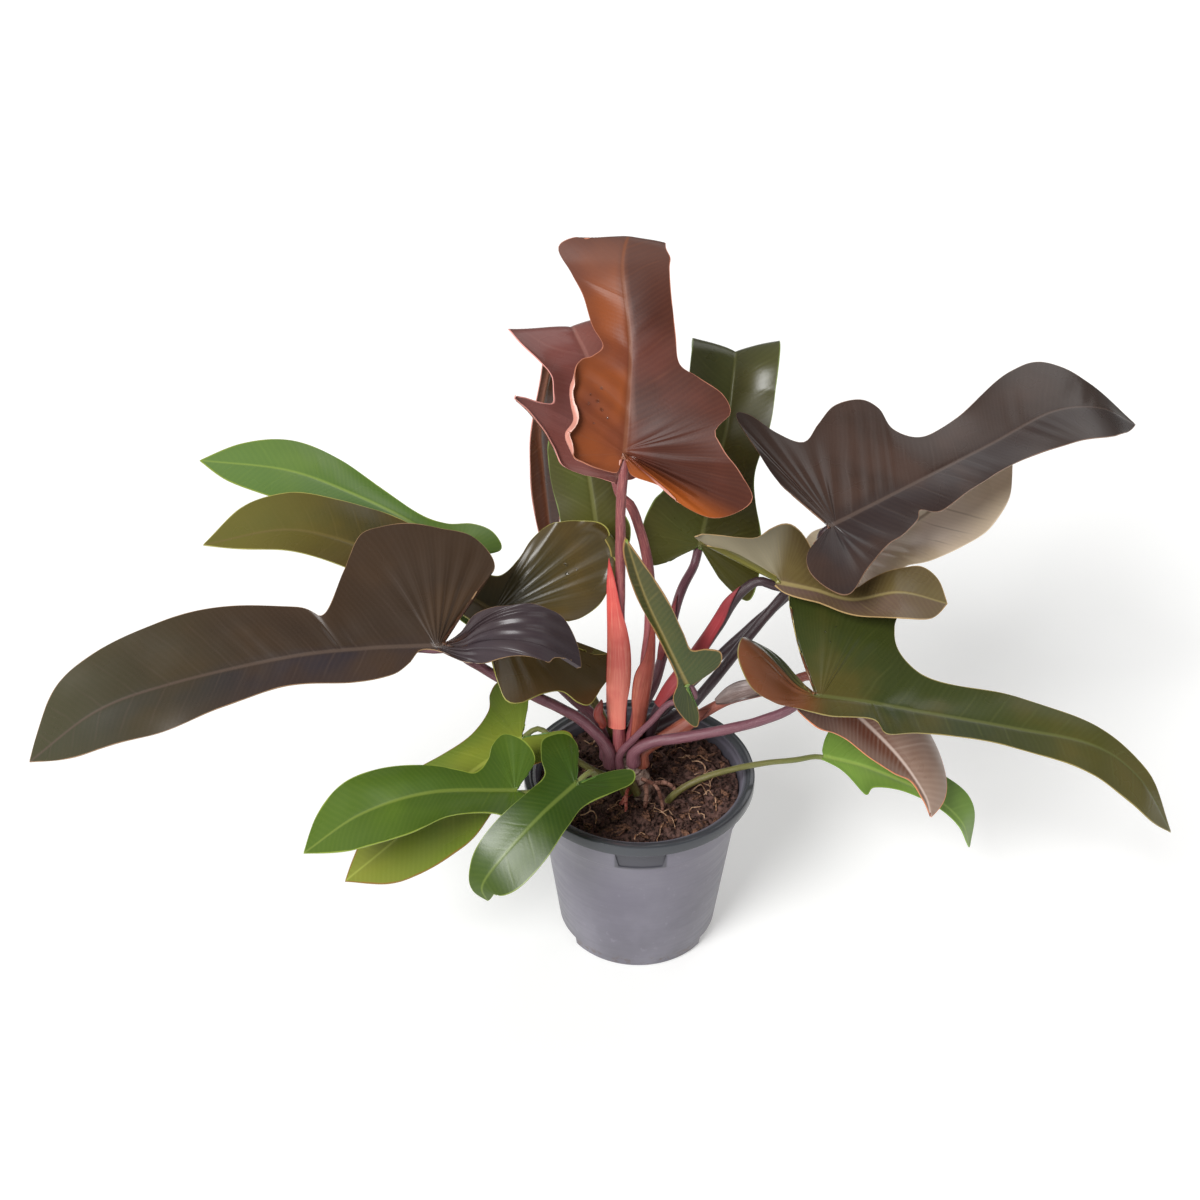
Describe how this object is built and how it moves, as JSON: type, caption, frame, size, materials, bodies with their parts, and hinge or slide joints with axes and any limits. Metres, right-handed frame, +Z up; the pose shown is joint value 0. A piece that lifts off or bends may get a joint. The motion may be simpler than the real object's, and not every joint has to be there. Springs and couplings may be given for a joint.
{
  "type": "potted philodendron",
  "caption": "Bronze-leaved aroid house plant: long-stalked lobed and folded leaves on a short rooted stem, in soil in a round nursery pot.",
  "frame": {"origin": "centre of the pot's flat underside, on the surface it stands on", "axes": "+Z up; -Y is the side the plant is seen from; +X to the right of that view, along the plant's widest spread"},
  "size_m": [0.7724, 0.3282, 0.516],
  "materials": {
    "pot": "matt grey moulded plastic with a faint sheen",
    "soil": "dark brown fibrous potting mix, matt",
    "stem": "grey-brown bark with rings and pale aerial roots",
    "bronze_blade": "glossy rust-bronze leaf, waxy",
    "dark_blade": "glossy dark bronze-purple leaf, waxy",
    "olive_blade": "glossy olive-bronze leaf, waxy",
    "green_blade": "glossy green leaf, waxy",
    "pink_stalk": "smooth mauve-pink stalk, satin",
    "dark_stalk": "smooth dark purple stalk, satin",
    "green_stalk": "smooth yellow-green stalk, satin",
    "coral_sheath": "smooth coral sheath, satin",
    "red_sheath": "smooth red sheath, satin",
    "dry_scale": "dry papery brown scale, matt"
  },
  "bodies": {
    "root": {"pot": "pot", "soil": "soil", "stem": "stem", "crown_blade": "bronze_blade", "crown_stalk": "pink_stalk", "crown_left_blade": "bronze_blade", "crown_left_stalk": "pink_stalk", "big_left_blade": "dark_blade", "big_left_stalk": "dark_stalk", "big_right_blade": "dark_blade", "big_right_stalk": "dark_stalk", "low_right_blade": "olive_blade", "low_right_stalk": "pink_stalk", "back_right_blade": "olive_blade", "back_right_stalk": "dark_stalk", "far_left_blade": "green_blade", "far_left_stalk": "green_stalk", "mid_left_blade": "olive_blade", "mid_left_stalk": "dark_stalk", "front_left_blade": "green_blade", "front_left_stalk": "green_stalk", "under_left_blade": "green_blade", "under_left_stalk": "green_stalk", "front_blade": "green_blade", "front_stalk": "green_stalk", "shoot_right_blade": "green_blade", "shoot_right_stalk": "green_stalk", "hanging_right_blade": "bronze_blade", "hanging_right_stalk": "pink_stalk", "under_right_blade": "olive_blade", "under_right_stalk": "dark_stalk", "mid_right_blade": "olive_blade", "mid_right_stalk": "dark_stalk", "young_blade": "green_blade", "young_stalk": "pink_stalk", "back_blade": "green_blade", "back_stalk": "dark_stalk", "sheath_tall": "coral_sheath", "sheath_side": "coral_sheath", "sheath_low": "coral_sheath", "sheath_red": "red_sheath", "sheath_back": "red_sheath", "scale_dry": "dry_scale"}
  },
  "joints": []
}
